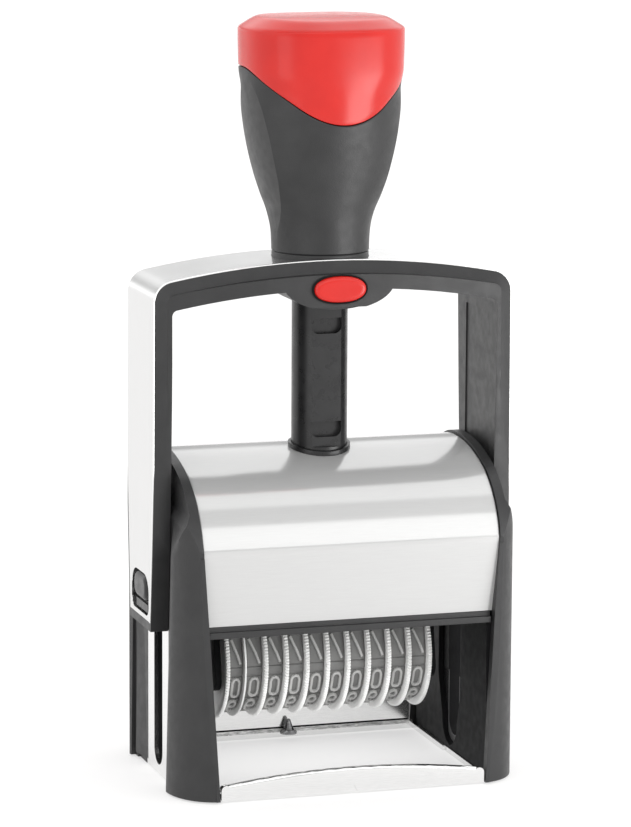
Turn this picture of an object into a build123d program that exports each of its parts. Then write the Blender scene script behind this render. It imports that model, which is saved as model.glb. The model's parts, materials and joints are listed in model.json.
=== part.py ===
from build123d import *
import os
from math import atan, cos, degrees, pi, radians, sin

# Self-inking numbering stamp with ten number bands.  Millimetres, +Z up, front faces -Y,
# origin on the resting plane under the middle of the base.

os.makedirs("parts", exist_ok=True)

# ---- driving dimensions -------------------------------------------------------------
STROKE = 33.5            # travel of the bow from rest to the printed surface
AXLE_Z = 45.4            # height of the flip axle at rest
TEXT_GAP = 0.3           # gap between the inked characters and the pad at rest
CHAR_RISE = 0.6          # how far the characters stand out of a band
WHEEL_Z = 27.35          # height of the number wheels' shaft at rest
DISC_R = 14.5            # serrated disc of a number wheel
DISC_T = 1.1
HUB_R = 11.2             # hub that a band runs on
BAND_T = 1.35            # thickness of a band
BAND_W = 3.75            # width of a band
WHEEL_PITCH = 5.04       # from one wheel to the next
FIRST_DISC_X = -26.15    # the first wheel carries its disc on the left
SECOND_DISC_X = -16.87   # the others carry theirs on the right
FIRST_BAND_W = 3.2
WHEELS = 10

BASE_HALF_W = 39.3       # outer face of the steel side plates
BASE_HALF_D = 29.5       # front and rear of the cheeks on the floor
STEEL_T = 1.0
RING_T = 1.2             # thickness of the base ring
WINDOW_HALF_W = 32.9     # print window in the base ring
WINDOW_STEP = 0.5        # the window's rear part is this much narrower on each side
REAR_WALL_HALF_W = 31.6
SLOT_HALF_W = 3.7        # guide slot for the axle
SLOT_TOP = 52.0
LEG_HALF_W = 42.0        # outermost face of the legs
COVER_HALF_W = 35.9
COVER_T = 0.8
COVER_EDGE_Z = 40.5      # lower front edge of the curved cover
LINER_IN = 33.3          # inner face of the plastic side walls
WALL_IN = 36.0           # inner face of the cheeks

ARM_IN = 39.45           # inner face of the bow's arms
ARM_OUT = 43.35          # outer face of the arms at the top
ARM_FOOT_OUT = 43.7      # outer face of the arms at the foot
ARM_FOOT_Z = 36.5
STRIP_T = 0.7
STRIP_FOOT_Z = 38.6
BOW_TOP_Z = 122.5
SHOULDER_Z = 113.6
STRIP_FRONT_Y = -11.8
STRIP_REAR_Y = 12.0
FACE_Y = 13.3            # where the bevel round the bow's front ends
NECK_Z = 123.5
CAVITY_R = 8.0           # hollow inside the handle
CAP_TOP_Z = 178.6
JOINT_Y = 4.0            # centre and radius of the curved joint between grip and cap
JOINT_Z = 145.9
JOINT_R = 20.9

COLUMN_R = 6.6
COLUMN_FLAT_Y = -5.6
COLUMN_TOP = 128.0
COLLAR_R = 7.35
COLLAR_RISE = 1.1        # how far the collar stands proud of the cover
YOKE_Z = 66.2
YOKE_T = 3.0
BUTTON_Z = 116.25
BUTTON_TRAVEL = 2.0
LATCH_Z = 115.25         # bolt of the lock, a little under the button's middle
POCKET_H = 3.7
POCKET_FLOOR_Y = -4.0
POCKET_CORNER_R = 1.8     # lower corners of a pocket
PAD_CHANGE_STROKE = 9.0  # where the lock holds the bow for a pad change

RUN_GAP = 0.05           # running clearance of a shaft in its bore
SLIDE_GAP = 0.1

TEXT_Z = AXLE_Z + (AXLE_Z - STROKE)
PAD_FACE_Z = TEXT_Z + TEXT_GAP
BAR_CORNER_R = 1.5       # rounded corners of the print bar
BAR_CORNER_Y = 3.0
BAR_CORNER_Z = TEXT_Z - CHAR_RISE - BAND_T - RUN_GAP - BAR_CORNER_R


# ---- helpers -------------------------------------------------------------------------
def along_x(face, x0, x1):
    """Extrude a (y, z) outline from x0 to x1."""
    return extrude(Plane.YZ.offset(x0) * face, x1 - x0)


def along_y(face, y0, y1, taper=0.0):
    """Extrude an (x, z) outline from y1 towards the front, to y0."""
    return extrude(Plane.XZ.offset(-y1) * face, y1 - y0, taper=taper)


def along_z(face, z0, z1):
    """Extrude an (x, y) outline from z0 to z1."""
    return extrude(Plane.XY.offset(z0) * face, z1 - z0)


def block(x0, x1, y0, y1, z0, z1):
    """A plain box between two corners."""
    size = (x1 - x0, y1 - y0, z1 - z0)
    return Pos((x0 + x1) / 2, (y0 + y1) / 2, (z0 + z1) / 2) * Box(*size)


def rod_x(radius, x0, x1, y, z):
    """A cylinder along X."""
    return along_x(Pos(y, z) * Circle(radius), x0, x1)


def rod_z(radius, z0, z1, x=0.0, y=0.0):
    """A cylinder along Z."""
    return along_z(Pos(x, y) * Circle(radius), z0, z1)


def both_sides(shape):
    """A shape and its mirror image in the plane x = 0."""
    return shape + mirror(shape, about=Plane.YZ)


def save(shape, name):
    """Write one node."""
    solids = shape.solids()
    out = solids[0] if len(solids) == 1 else Compound(children=list(solids))
    export_step(out, f"parts/{name}.step")


# ---- base ----------------------------------------------------------------------------
def slot_face(half_w, z_top):
    """Upright slot with a round lower end, as a (y, z) outline."""
    low = 5.9
    slot = Pos(0, (low + z_top) / 2) * Rectangle(2 * half_w, z_top - low)
    return slot + Pos(0, low) * Circle(half_w)


def front_bar():
    """Arched lip across the front of the base, with a centre mark pressed into it."""
    half, edge_z, mid_z, corner = 32.0, 3.7, 6.0, 1.2
    outline = Line((-half, 0), (-half, edge_z - corner))
    outline += ThreePointArc((-half, edge_z - corner), (-half + 0.4, edge_z - 0.3), (-half + corner, edge_z))
    outline += ThreePointArc((-half + corner, edge_z), (0, mid_z), (half - corner, edge_z))
    outline += ThreePointArc((half - corner, edge_z), (half - 0.4, edge_z - 0.3), (half, edge_z - corner))
    outline += Polyline((half, edge_z - corner), (half, 0), (-half, 0))
    bar = along_y(make_face(outline), -29.2, -27.4)
    long_edges = bar.edges().filter_by(lambda e: e.length > half and e.center().Z > 1)
    bar = fillet(long_edges, 0.75)
    mark = make_face(Polyline((-1.1, -0.1), (0, 1.8), (1.1, -0.1), close=True))
    return bar - along_y(mark, -30.0, -28.8)


def base_frame():
    """Stainless frame: floor ring, front lip, rear wall and the two slotted side plates."""
    ring = block(-BASE_HALF_W, BASE_HALF_W, -27.4, 27.4, 0, RING_T)
    rear_half = WINDOW_HALF_W - WINDOW_STEP
    ring -= block(-WINDOW_HALF_W, WINDOW_HALF_W, -26.4, 2.0, -1, RING_T + 1)
    ring -= block(-rear_half, rear_half, 1.9, 25.6, -1, RING_T + 1)
    for sx in (-1, 1):
        for sy in (-1, 1):
            ring -= block(min(sx * 36, sx * 41), max(sx * 36, sx * 41), min(sy * 11.5, sy * 28),
                          max(sy * 11.5, sy * 28), -1, RING_T + 1)
    rear = block(-REAR_WALL_HALF_W, REAR_WALL_HALF_W, 25.6, 26.8, 0, 8.4)
    rear += block(-rear_half, rear_half, 25.2, 26.8, 0, 2.2)
    rear -= block(-REAR_WALL_HALF_W - 1, REAR_WALL_HALF_W + 1, 25.0, 26.1, 2.2, 2.55)
    plate = block(BASE_HALF_W - STEEL_T, BASE_HALF_W, -9.3, 9.3, 0, 54.0)
    plate -= along_x(slot_face(SLOT_HALF_W, SLOT_TOP), BASE_HALF_W - 2, BASE_HALF_W + 1)
    return ring + front_bar() + rear + both_sides(plate)


def rear_pointer():
    """Small centring cone on the rear wall."""
    foot_r, neck_r, tip_r, neck_z, tip_z = 2.1, 1.35, 0.55, 2.1, 4.3
    foot = rod_z(foot_r, RING_T, 1.6, 0, 24.0)
    flare = Pos(0, 24.0, (1.6 + neck_z) / 2) * Cone(foot_r, neck_r, neck_z - 1.6)
    cone = Pos(0, 24.0, (neck_z + tip_z) / 2) * Cone(neck_r, tip_r, tip_z - neck_z)
    body = foot + flare + cone + Pos(0, 24.0, tip_z) * Sphere(tip_r)
    return body - block(-4, 4, 25.2, 30, -1, 12)


# ---- cover profile -------------------------------------------------------------------
def cover_envelope():
    """Closed (y, z) outline of the curved cover, from its front edge to its rear one."""
    front_foot, front_bend = (-25.7, COVER_EDGE_Z), (-27.25, 58.3)
    shoulder, crown = (-14.5, 73.1), (5.0, 77.15)
    rear_bend, rear_foot = (27.2, 60.0), (26.6, COVER_EDGE_Z)
    outline = Line(front_foot, front_bend)
    outline += ThreePointArc(front_bend, (-23.1, 66.6), shoulder)
    outline += ThreePointArc(shoulder, (-5.0, 76.1), crown)
    outline += ThreePointArc(crown, (19.6, 72.3), rear_bend)
    outline += Polyline(rear_bend, rear_foot, front_foot)
    return make_face(outline)


def front_cover():
    """Curved sheet cover, open below, with the hole for the column."""
    outer = cover_envelope()
    sheet = along_x(outer - offset(outer, -COVER_T), -COVER_HALF_W, COVER_HALF_W)
    sheet -= block(-50, 50, 0, 40, 0, 65.0)
    sheet -= block(-50, 50, -24.6, 1, 0, 43.0)
    return sheet - rod_z(COLUMN_R + 0.15, 60, 90)


def cover_trim():
    """Plastic edge under the cover's front, with a shadow groove."""
    half, narrow = 34.2, 33.2
    trim = block(-half, half, -26.8, -25.05, 37.8, 39.3)
    trim += block(-half, half, -25.9, -25.05, 39.3, COVER_EDGE_Z - 0.05)
    trim += block(-narrow, narrow, -25.05, -23.6, 37.8, COVER_EDGE_Z - 0.05)
    return trim + block(-narrow, narrow, -24.5, -23.6, 39.3, 46.0)


# ---- cheeks --------------------------------------------------------------------------
def cheek_side_outline():
    """(y, z) outline of a cheek: the cover's arch, a little proud, on two legs."""
    arch = offset(cover_envelope(), 0.55)
    legs = make_face(Polyline((-BASE_HALF_D, 0), (-28.1, 40.0), (-27.9, 57.0), (27.8, 57.0), (28.1, 40.0),
                              (BASE_HALF_D, 0), close=True))
    return arch + legs


def cheek_plan_outline():
    """(x, y) outline of the right cheek: oval corners, the rear leg a little narrower."""
    inner_x = 32.3
    front = Pos(LEG_HALF_W - 10.5, -16.3) * Ellipse(10.5, BASE_HALF_D - 16.3)
    rear = Pos(LEG_HALF_W - 11.0, 16.3) * Ellipse(10.6, BASE_HALF_D - 16.3)
    middle = make_face(Polyline((inner_x, -16.3), (LEG_HALF_W, -16.3), (LEG_HALF_W - 0.4, 16.3),
                                (inner_x, 16.3), close=True))
    inner = Pos(inner_x - 5, 0) * Rectangle(10, 70)
    edge = Pos(inner_x + 0.5, 0) * Rectangle(1, 2 * BASE_HALF_D)
    return front + rear + middle + edge - inner


def cheek_front_outline():
    """(x, z) outline of the right cheek: flared legs below, a thin rim above."""
    rim_x, top = 38.2, 90.0
    outline = Polyline((32.3, 0), (LEG_HALF_W, 0), (LEG_HALF_W - 0.5, 56.0))
    outline += ThreePointArc((LEG_HALF_W - 0.5, 56.0), (40.5, 61.0), (rim_x, 66.5))
    outline += Polyline((rim_x, 66.5), (rim_x, top), (WALL_IN, top), (WALL_IN, 61.0), (34.6, 40.0), (32.3, 0))
    return make_face(outline)


def arm_channel():
    """The space that an arm of the bow slides in, between the two legs."""
    x0, x1 = BASE_HALF_W + 0.02, 46.0
    rise = (x1 - x0) / (LEG_HALF_W - x0)
    sections = []
    for z, front, rear in ((-1, 10.1, 10.1), (36, 12.4, 12.6), (66, 14.9, 15.4), (90, 14.9, 15.4)):
        plan = Polyline((x0, -front), (x0, rear), (x1, rear + 13.5 * rise), (x1, -front - 6.6 * rise), close=True)
        sections.append(Plane.XY.offset(z) * make_face(plan))
    return loft(sections, ruled=True)


def cheek():
    """Right cheek: black shell that carries the plate, the cover and the inner wall."""
    shell = along_x(cheek_side_outline(), 30, 44)
    shell &= along_z(cheek_plan_outline(), 0, 90)
    shell &= along_y(cheek_front_outline(), -40, 40)
    shell -= arm_channel()
    inside = cover_envelope() + make_face(Polyline((-27.5, -1), (-25.7, COVER_EDGE_Z), (26.6, COVER_EDGE_Z),
                                                   (27.5, -1), close=True))
    shell -= along_x(offset(inside, 0.03), 25, WALL_IN)
    shell -= block(WALL_IN - 0.1, BASE_HALF_W - STEEL_T, -25.0, 25.0, -1, 55.5)
    shell -= block(BASE_HALF_W - STEEL_T - 0.02, BASE_HALF_W + 0.1, -9.32, 9.32, -1, 54.02)
    shell -= along_x(slot_face(SLOT_HALF_W + 0.3, SLOT_TOP), 30, 45)
    shell -= block(30, BASE_HALF_W + 0.02, -11.52, 11.52, -1, RING_T + 0.02)
    shell -= block(30, WALL_IN + 0.02, -27.42, 27.42, -1, RING_T + 0.02)
    for sy in (-1, 1):
        pocket = block(36.4, 39.2, 17.2, 24.0, -1, 34.0)
        shell -= pocket if sy > 0 else mirror(pocket, about=Plane.XZ)
    groove = block(LEG_HALF_W - 2.0, 46, 16.4, 18.8, -1, 36.0)
    raised_end = block(BASE_HALF_W + 0.1, 46, 8.0, 16.4, -1, 1.2)
    return shell - groove - raised_end


def liner():
    """Right inner wall with the axle's slot in a tapered guide."""
    foot_z, sill_z, top_z = RING_T + 0.05, 37.7, 55.3
    skin = make_face(Polyline((-27.2, foot_z), (-25.5, sill_z), (-24.6, sill_z), (-24.6, top_z),
                              (24.6, top_z), (24.6, sill_z), (25.1, sill_z), (25.1, foot_z), close=True))
    wall = along_x(skin, LINER_IN + 0.05, WALL_IN - 0.03)
    wall -= block(30, WALL_IN, -28, -24.6, 37.7, 60)
    wall += block(WALL_IN - 0.1, BASE_HALF_W - STEEL_T - 0.05, -24.6, 24.6, foot_z, top_z)
    wall -= along_x(slot_face(SLOT_HALF_W + 0.3, SLOT_TOP), 30, 40)
    guide = Polyline((-5.2, 8.0), (-8.4, 18.0), (-8.4, 52.0), (8.4, 52.0), (8.4, 18.0), (5.2, 8.0))
    guide += ThreePointArc((5.2, 8.0), (0, 2.3), (-5.2, 8.0))
    return wall - along_x(make_face(guide), 30, LINER_IN + 1.2)


# ---- column --------------------------------------------------------------------------
def column_yoke():
    """Crossbeam inside the cover that the column stands on."""
    half = WALL_IN - 0.05
    beam = block(-half, half, -9.0, 9.0, YOKE_Z, YOKE_Z + YOKE_T)
    beam += block(-half, -half + 2.4, -9.0, 9.0, YOKE_Z - 6, YOKE_Z)
    beam += block(half - 2.4, half, -9.0, 9.0, YOKE_Z - 6, YOKE_Z)
    return beam - rod_z(3.1, YOKE_Z - 1, YOKE_Z + YOKE_T + 1)


def column():
    """Guide column of the bow: flat front with pockets for the lock, bored for the spring."""
    post = rod_z(COLUMN_R, YOKE_Z + YOKE_T, COLUMN_TOP)
    post -= block(-10, 10, -10, COLUMN_FLAT_Y, 77.6, COLUMN_TOP + 1)
    post -= rod_z(3.0, YOKE_Z, COLUMN_TOP + 1)
    post -= rod_z(5.2, 119.0, COLUMN_TOP + 1)
    for held_at in (0.0, PAD_CHANGE_STROKE, STROKE):
        pocket = block(-3.7, 3.7, -10, POCKET_FLOOR_Y, -POCKET_H / 2, POCKET_H / 2)
        lower_edges = pocket.edges().filter_by(Axis.Y).group_by(Axis.Z)[0]
        post -= Pos(0, 0, LATCH_Z - held_at) * fillet(lower_edges, POCKET_CORNER_R)
    return post


def column_collar():
    """Low lip where the column leaves the cover, as curved as the cover."""
    lip = rod_z(COLLAR_R, 70, 90) - rod_z(COLUMN_R + 0.02, 70, 90)
    lip &= along_x(offset(cover_envelope(), COLLAR_RISE), -20, 20)
    return lip - along_x(offset(cover_envelope(), 0.01), -20, 20)


def column_screw():
    """Pan-head screw that holds the column to the yoke."""
    return rod_z(2.95, YOKE_Z, YOKE_Z + 16) + rod_z(4.6, YOKE_Z - 1.9, YOKE_Z)


# ---- bow -----------------------------------------------------------------------------
def bow_outline():
    """Closed (x, z) outline of the bow's outside."""
    sx, sz = 39.0, 118.8
    outline = Line((-ARM_FOOT_OUT, ARM_FOOT_Z), (-ARM_OUT, SHOULDER_Z))
    outline += ThreePointArc((-ARM_OUT, SHOULDER_Z), (-42.2, 117.0), (-sx, sz))
    outline += ThreePointArc((-sx, sz), (0, BOW_TOP_Z), (sx, sz))
    outline += ThreePointArc((sx, sz), (42.2, 117.0), (ARM_OUT, SHOULDER_Z))
    outline += Polyline((ARM_OUT, SHOULDER_Z), (ARM_FOOT_OUT, ARM_FOOT_Z), (-ARM_FOOT_OUT, ARM_FOOT_Z))
    return make_face(outline)


def bow_window():
    """(x, z) outline of the opening between the arms, less the boss round the button."""
    half = []
    for s in (-1, 1):
        side = Polyline((0, 20), (s * ARM_IN, 20), (s * ARM_IN, 111.0))
        side += ThreePointArc((s * ARM_IN, 111.0), (s * 39.05, 111.95), (s * 38.2, 112.4))
        side += ThreePointArc((s * 38.2, 112.4), (s * 20.0, 115.25), (0, 116.2))
        side += Line((0, 116.2), (0, 20))
        half.append(make_face(side))
    return half[0] + half[1] - Pos(0, 117.6) * Ellipse(13.4, 6.4)


def bow_side_outline(inset=0.0):
    """(y, z) outline: the arms grow slimmer towards the foot."""
    foot, front_mid, rear_mid, front, rear = (v - inset for v in (9.6, 11.9, 12.2, 13.7, 14.9))
    outline = ThreePointArc((-foot, ARM_FOOT_Z), (-front_mid, 64.0), (-front, 112.0))
    outline += Polyline((-front, 112.0), (-20, 112.0), (-20, 125), (20, 125), (20, 112.0), (rear, 112.0))
    outline += ThreePointArc((rear, 112.0), (rear_mid, 66.0), (foot, ARM_FOOT_Z))
    outline += Line((foot, ARM_FOOT_Z), (-foot, ARM_FOOT_Z))
    return make_face(outline)


def bow_plan_outline():
    """(x, y) outline: the front bulges round the button."""
    outline = Polyline((-45, -13.4), (-40.4, -13.4))
    outline += ThreePointArc((-40.4, -13.4), (0, -15.7), (40.4, -13.4))
    outline += Polyline((40.4, -13.4), (45, -13.4), (45, 14.9), (-45, 14.9), (-45, -13.4))
    return make_face(outline)


def bow_blank():
    """The whole bow as one piece, before the metal strip is let in."""
    bevel = 2.85
    depth = FACE_Y + STRIP_FRONT_Y
    slope = degrees(atan(bevel / depth))
    outline = bow_outline()
    blank = along_y(outline, STRIP_FRONT_Y, STRIP_REAR_Y)
    blank += along_y(outline, -FACE_Y, STRIP_FRONT_Y, taper=slope)
    blank += along_y(offset(outline, -bevel), -16.0, -FACE_Y)
    rear = along_y(outline, -FACE_Y, STRIP_FRONT_Y, taper=slope)
    blank += Pos(0, STRIP_REAR_Y + STRIP_FRONT_Y, 0) * mirror(rear, about=Plane.XZ)
    blank += along_y(offset(outline, -bevel), STRIP_REAR_Y, 16.0)
    blank -= along_y(bow_window(), -30, 30)
    blank &= along_x(bow_side_outline(), -50, 50)
    blank &= along_z(bow_plan_outline(), 20, 130)
    return blank


def strip_zone():
    """The space of the metal strip on the outside of the bow."""
    outline = bow_outline()
    ring = along_y(outline - offset(outline, -STRIP_T), STRIP_FRONT_Y, STRIP_REAR_Y)
    ring &= along_x(bow_side_outline(0.7), -50, 50)
    return ring - block(-50, 50, -20, 20, 0, STRIP_FOOT_Z)


def pivot_window():
    """(y, z) outline of the opening over a pivot."""
    window = Pos(0, 44.4) * Rectangle(15.4, 9.6)
    window = fillet(window.vertices().group_by(Axis.Y)[-1], 4.4)
    return fillet(window.vertices().group_by(Axis.Y)[0], 2.2)


def bow_strip(blank):
    """Satin metal strip round the outside of the bow."""
    strip = blank & strip_zone()
    strip -= rod_z(11.5, 110, 130)
    return strip - along_x(pivot_window(), -50, 50)


def bow_body(blank):
    """Black moulded bow: two arms, a top beam with the button's boss, and the column's bore."""
    body = blank - strip_zone()
    body -= rod_z(COLUMN_R + 0.08, 100, 130)
    body -= rod_z(8.1, 100, 113.4)
    body -= rod_z(11.5, 121.3, 130)
    body -= button_hole()
    for s in (-1, 1):
        near, far = sorted((s * 42.0, s * 50.0))
        body -= along_x(pivot_window(), near, far)
        near, far = sorted((s * 39.0, s * 50.0))
        body -= rod_x(4.6, near, far, 0, AXLE_Z)
        near, far = sorted((s * (ARM_IN - 1), s * (ARM_IN + 0.3)))
        body -= block(near, far, -8.6, 8.6, 62.0, 108.5)
    return body


def button_hole():
    """Stepped opening for the button and its bolt."""
    hole = along_y(Pos(0, BUTTON_Z) * Ellipse(6.55, 3.3), -20, -11.0)
    return hole + block(-3.6, 3.6, -12, -3, LATCH_Z - 1.75, LATCH_Z + 1.75)


def pivot_bearing():
    """Right bearing in the foot of an arm: a rounded housing over the end of the axle."""
    bush = rod_x(4.55, ARM_IN + 0.05, 42.05, 0, AXLE_Z)
    dome = block(42.05, 43.9, -5.6, 5.6, AXLE_Z - 2.9, AXLE_Z + 3.3)
    dome = fillet(dome.edges().filter_by(Axis.X), 2.7)
    dome = fillet(dome.edges().group_by(Axis.X)[-1], 1.3)
    step = block(42.05, 43.2, -5.2, 5.2, 40.0, 41.9)
    step += block(42.05, 42.5, -5.2, 5.2, 41.9, AXLE_Z)
    return bush + dome + step - rod_x(2.5 + RUN_GAP, 39, 42.2, 0, AXLE_Z)


def neck_collar():
    """Saddle ring between the bow and the grip."""
    ring = rod_z(11.4, 121.3, NECK_Z) - rod_z(CAVITY_R, 110, 130)
    return chamfer(ring.edges().group_by(Axis.Z)[-1].sort_by(SortBy.LENGTH)[-1], 0.2)


# ---- handle --------------------------------------------------------------------------
GRIP_SECTIONS = ((NECK_Z, 11.5, 11.5), (129.5, 11.7, 11.6), (134.0, 12.6, 12.0), (140.0, 14.7, 13.2),
                 (147.0, 16.8, 14.6), (155.0, 18.2, 15.7), (163.0, 19.0, 16.3), (170.0, 19.2, 16.5),
                 (CAP_TOP_Z, 19.2, 16.5))


def handle_blank():
    """Solid outer form of grip and cap."""
    rings = [Plane.XY.offset(z) * Ellipse(rx, ry) for z, rx, ry in GRIP_SECTIONS]
    return loft(rings)


def cap_split():
    """Everything above the curved joint between grip and cap."""
    above = Pos(0, JOINT_Z + 25) * Rectangle(50, 50)
    return along_x(above - Pos(JOINT_Y, JOINT_Z) * Circle(JOINT_R), -25, 25)


def handle_grip(blank):
    """Black lower part of the handle, hollow for the spring."""
    return blank - cap_split() - rod_z(CAVITY_R, 100, 172.0)


def handle_cap(blank):
    """Red cap of the handle."""
    cap = blank & cap_split()
    cap = fillet(cap.edges().group_by(Axis.Z)[-1], 3.2)
    return cap - rod_z(CAVITY_R, 100, 173.0)


def spring_seat():
    """Washer that the spring pushes against, under the cap."""
    return rod_z(CAVITY_R - 0.05, 171.6, 173.0) - rod_z(1.6, 170, 175)


def coil(radius, wire, z0, z1, turns):
    """Helical compression spring."""
    height = z1 - z0 - wire
    path = Helix(pitch=height / turns, height=height, radius=radius)
    section = Plane(origin=path @ 0, z_dir=path % 0) * Circle(wire / 2)
    return Pos(0, 0, z0 + wire / 2) * sweep(section, path=path)


def return_spring():
    """Main spring, from the column's bore to the seat under the cap."""
    return coil(4.4, 1.2, 119.1, 171.5, 9)


# ---- lock ----------------------------------------------------------------------------
def lock_button():
    """Oval push button."""
    body = along_y(Pos(0, BUTTON_Z) * Ellipse(6.35, 3.1), -16.9, -13.6)
    return fillet(body.edges().group_by(Axis.Y)[0], 0.9)


def lock_latch():
    """Bolt behind the button, which enters the column's pockets."""
    bolt = block(-3.4, 3.4, -13.6, -6.2, LATCH_Z - 1.6, LATCH_Z + 1.6)
    bolt = fillet(bolt.edges().filter_by(Axis.Y).group_by(Axis.Z)[0], POCKET_CORNER_R - 0.2)
    return bolt - along_y(Pos(0, LATCH_Z) * Circle(0.9), -9.0, -3.0)


# ---- numbering unit ------------------------------------------------------------------
def disc_x(k):
    """Middle of the serrated disc of wheel k, counted from 1."""
    return FIRST_DISC_X if k == 1 else SECOND_DISC_X + (k - 2) * WHEEL_PITCH


def band_span(k):
    """Left and right side of band k."""
    if k == 1:
        left = FIRST_DISC_X + DISC_T / 2 + 0.12
        return left, left + FIRST_BAND_W
    right = disc_x(k) - DISC_T / 2 - 0.12
    return right - BAND_W, right


def loop_face(grow):
    """(y, z) outline of a band's loop, grown outwards from the hub and the print bar."""
    wheel = Pos(0, WHEEL_Z) * Circle(HUB_R + RUN_GAP + grow)
    rim = wheel.edges()
    for s in (-1, 1):
        rim += (Pos(s * BAR_CORNER_Y, BAR_CORNER_Z) * Circle(BAR_CORNER_R + grow)).edges()
    return make_hull(rim)


def number_band(k):
    """Rubber band: a closed loop over the wheel's hub and the print bar."""
    x0, x1 = band_span(k)
    return along_x(loop_face(RUN_GAP + BAND_T) - loop_face(RUN_GAP), x0, x1)


def number_wheel(k):
    """Setting wheel: a disc for the finger and a hub that drives the band."""
    x0, x1 = band_span(k)
    centre = disc_x(k)
    wheel = rod_x(HUB_R, x0, x1, 0, WHEEL_Z)
    wheel += rod_x(HUB_R, min(centre, x0), max(centre, x1), 0, WHEEL_Z)
    wheel += rod_x(DISC_R, centre - DISC_T / 2, centre + DISC_T / 2, 0, WHEEL_Z)
    return wheel - rod_x(3.0 + RUN_GAP, -40, 40, 0, WHEEL_Z)


PLATE_T = 1.5
LEFT_PLATE_X = FIRST_DISC_X - DISC_T / 2 - 0.3 - PLATE_T
RIGHT_PLATE_X = SECOND_DISC_X + (WHEELS - 2) * WHEEL_PITCH + DISC_T / 2 + 0.3


def side_plate(x0):
    """Side plate of the numbering unit."""
    rim = ShapeList()
    for s in (-1, 1):
        rim += (Pos(s * 8.3, 24.6) * Circle(3.3)).edges()
        rim += (Pos(s * 3.4, TEXT_Z - 4.2) * Circle(2.4)).edges()
    plate = along_x(make_hull(rim), x0, x0 + PLATE_T)
    plate -= rod_x(2.5, -50, 50, 0, AXLE_Z)
    return plate - rod_x(3.0, -50, 50, 0, WHEEL_Z)


def print_bar():
    """Bar that backs the bands where they print."""
    rim = ShapeList()
    for s in (-1, 1):
        rim += (Pos(s * BAR_CORNER_Y, BAR_CORNER_Z) * Circle(BAR_CORNER_R)).edges()
        rim += (Pos(s * 2.6, BAR_CORNER_Z - 1.8) * Circle(1.0)).edges()
    return along_x(make_hull(rim), LEFT_PLATE_X + PLATE_T, RIGHT_PLATE_X)


def band_separator():
    """Plain thin disc between the first two bands."""
    x = band_span(1)[1] + 0.16
    disc = rod_x(DISC_R - 0.3, x, x + 0.45, 0, WHEEL_Z)
    return disc - rod_x(3.0, -50, 50, 0, WHEEL_Z)


def wheel_shaft():
    """Shaft of the number wheels."""
    return rod_x(3.0, LEFT_PLATE_X - 1.2, RIGHT_PLATE_X + PLATE_T + 1.2, 0, WHEEL_Z)


def flip_axle():
    """Axle that the numbering unit turns over on, from arm to arm."""
    return rod_x(2.5, -42.0, 42.0, 0, AXLE_Z)


def axle_rollers():
    """Rollers on the axle that run in the slots of the side plates."""
    roller = rod_x(SLOT_HALF_W - 0.15, 34.4, ARM_IN - 0.1, 0, AXLE_Z) - rod_x(2.5, 30, 45, 0, AXLE_Z)
    return both_sides(roller)


def flip_pins():
    """Pins beside the axle that turn the unit over in the guides."""
    pins = None
    reach = LINER_IN - 0.4
    for x0, x1 in ((-reach, LEFT_PLATE_X), (RIGHT_PLATE_X + PLATE_T, reach)):
        for s in (-1, 1):
            pin = rod_x(1.4, x0, x1, s * 6.4, AXLE_Z - 1.0)
            pins = pin if pins is None else pins + pin
    return pins


def detent_comb():
    """Spring comb that clicks each wheel into place."""
    back_z = WHEEL_Z + DISC_R + 0.15
    comb = block(LEFT_PLATE_X + PLATE_T, RIGHT_PLATE_X, -3.4, 3.4, back_z, back_z + 0.8)
    for k in range(1, WHEELS + 1):
        x0, x1 = band_span(k)
        mid = (x0 + x1) / 2
        comb += block(mid - 0.9, mid + 0.9, -0.8, 0.8, WHEEL_Z + HUB_R + 0.15, back_z)
    return comb


# ---- ink pad -------------------------------------------------------------------------
TRAY_HALF_W = 30.4
TRAY_TOP = 64.0
PAD_T = 3.2


def pad_housing():
    """Rails that the pad tray slides in."""
    rail = block(29.3, WALL_IN - 0.05, -21.5, 25.0, 55.4, 64.4)
    rail -= block(20, TRAY_HALF_W + SLIDE_GAP, -30, 30, PAD_FACE_Z + 0.3, 70)
    rail -= block(32.3, 40, -9.1, 9.1, 60.1, 70)
    rails = both_sides(rail)
    stop = block(-31, 31, -21.5, -20.1, PAD_FACE_Z + 0.3, 64.4)
    return rails + stop


def pad_tray():
    """Tray of the ink pad with a pull at the rear."""
    floor_z = PAD_FACE_Z + 0.5
    tray = block(-TRAY_HALF_W, TRAY_HALF_W, -20.0, 25.6, floor_z, TRAY_TOP)
    tray -= block(-28.1, 28.1, -13.1, 13.1, floor_z - 1, PAD_FACE_Z + PAD_T)
    tray -= block(-26.0, 26.0, -17.0, 22.0, PAD_FACE_Z + PAD_T + 1.2, 70)
    pull = block(-12.0, 12.0, 25.6, BASE_HALF_D, 59.2, 61.6)
    pull += block(-12.0, 12.0, BASE_HALF_D - 1.2, BASE_HALF_D, 58.0, 62.8)
    return tray + pull


def ink_pad():
    """Inked felt, face down over the characters."""
    pad = block(-28.0, 28.0, -13.0, 13.0, PAD_FACE_Z, PAD_FACE_Z + PAD_T)
    return fillet(pad.edges().filter_by(Axis.Z), 1.5)


def rear_panel():
    """Black panel under the pad tray's opening."""
    return block(-WALL_IN + 0.05, WALL_IN - 0.05, 25.2, 26.5, 46.0, 56.8)


def frame_screws():
    """Screws that hold the yoke to the cheeks and the inner walls to the base."""
    screws = None
    for s in (-1, 1):
        for y in (-6.0, 6.0):
            head = rod_x(1.9, min(s * 32.4, s * 33.55), max(s * 32.4, s * 33.55), y, YOKE_Z - 3)
            screws = head if screws is None else screws + head
    return screws


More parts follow.
